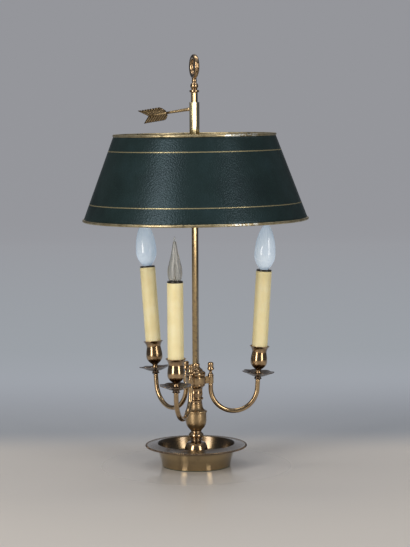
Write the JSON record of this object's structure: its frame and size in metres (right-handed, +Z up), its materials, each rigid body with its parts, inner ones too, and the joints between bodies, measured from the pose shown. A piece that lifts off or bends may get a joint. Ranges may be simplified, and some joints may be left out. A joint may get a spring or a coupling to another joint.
{
  "type": "bouillotte lamp",
  "caption": "Brass bouillotte lamp: dish base, turned baluster, swinging U-shaped candle arms, and a painted metal shade that slides on a square stem under an arrow clamp key and a ring finial.",
  "frame": {"origin": "centre of the felt's underside, on the table under the stem", "axes": "+Z up along the stem; +X the lamp's right, towards the right arm; -Y its front, where the front arm and the arrow's side face"},
  "size_m": [0.3713, 0.3714, 0.6787],
  "materials": {
    "aged_brass": "turned brass darkened with age, polished on the high spots",
    "dish_brass": "turned brass dish, aged and lacquered",
    "pan_brass": "pressed brass pan, dull and dark",
    "arm_brass": "bent and polished brass, yellow, lightly aged",
    "polished_brass": "pale polished brass rod and tube",
    "gilt": "rolled rim with worn gilt",
    "painted_tole": "dark bottle green paint with a fine pebbled grain, chipped at the rims",
    "steel": "zinc-plated steel",
    "felt": "green wool felt",
    "candle_card": "cream card sleeve, satin",
    "holder": "moulded black phenolic",
    "opal_glass": "opal glass, gloss",
    "clear_glass": "clear blown glass",
    "filament": "wire and pressed glass stem",
    "wire": "insulated flex",
    "terminal": "moulded terminal block",
    "bush": "moulded bush"
  },
  "bodies": {
    "root": {"base_felt": "felt", "base_dish": "dish_brass", "base_washer": "steel", "base_nut": "steel", "lamp_pipe": "steel", "cord_bush": "bush", "terminal_block": "terminal", "baluster_foot": "aged_brass", "baluster_urn": "aged_brass", "baluster_column": "aged_brass", "arm_hub": "arm_brass", "hub_cap": "aged_brass", "hub_leads": "wire", "stem": "polished_brass", "top_knop": "aged_brass", "ring_finial": "aged_brass"},
    "right_arm": {"arm_right": "arm_brass", "lug_finial_right": "aged_brass", "drip_pan_right": "pan_brass", "candle_cup_right": "aged_brass", "socket_riser_right": "steel", "lampholder_right": "holder", "candle_tube_right": "candle_card", "bulb_glass_right": "opal_glass", "bulb_cap_right": "steel", "arm_lead_right": "wire"},
    "left_arm": {"arm_left": "arm_brass", "lug_finial_left": "aged_brass", "drip_pan_left": "pan_brass", "candle_cup_left": "aged_brass", "socket_riser_left": "steel", "lampholder_left": "holder", "candle_tube_left": "candle_card", "bulb_glass_left": "opal_glass", "bulb_cap_left": "steel", "arm_lead_left": "wire"},
    "front_arm": {"arm_front": "arm_brass", "lug_finial_front": "aged_brass", "drip_pan_front": "pan_brass", "candle_cup_front": "aged_brass", "socket_riser_front": "steel", "lampholder_front": "holder", "candle_tube_front": "candle_card", "bulb_glass_front": "clear_glass", "bulb_cap_front": "steel", "arm_lead_front": "wire", "bulb_filament_front": "filament"},
    "shade": {"shade_sleeve": "polished_brass", "shade_spider": "arm_brass", "shade_cone": "painted_tole", "shade_top_bead": "gilt", "shade_bottom_bead": "gilt"},
    "clamp_shoe": {"clamp_shoe": "steel"},
    "arrow_key": {"arrow_key": "arm_brass"}
  },
  "joints": [
    {"name": "shade_height", "type": "slide", "parent": "root", "child": "shade", "axis": [0, 0, 1], "range_m": [-0.1, 0.014]},
    {"name": "clamp_travel", "type": "slide", "parent": "shade", "child": "clamp_shoe", "axis": [-0.8966, 0.4181, -0.1461], "range_m": [0, 0.00122]},
    {"name": "arrow_turn", "type": "hinge", "parent": "clamp_shoe", "child": "arrow_key", "pos_m": [-0.00566, 0.00264, 0.5896], "axis": [-0.8966, 0.4181, -0.1461], "range_deg": [0, 450]},
    {"name": "right_arm_swing", "type": "hinge", "parent": "root", "child": "right_arm", "pos_m": [0.02458, 0.00456, 0.1363], "axis": [0, 0, 1], "range_deg": [-25, 25]},
    {"name": "left_arm_swing", "type": "hinge", "parent": "root", "child": "left_arm", "pos_m": [-0.01624, 0.01901, 0.1363], "axis": [0, 0, 1], "range_deg": [-25, 25]},
    {"name": "front_arm_swing", "type": "hinge", "parent": "root", "child": "front_arm", "pos_m": [-0.00834, -0.02357, 0.1363], "axis": [0, 0, 1], "range_deg": [-25, 25]}
  ],
  "couplings": [
    {"joint": "clamp_travel", "follows": "arrow_turn", "m_per_rad": 0.00012732}
  ]
}
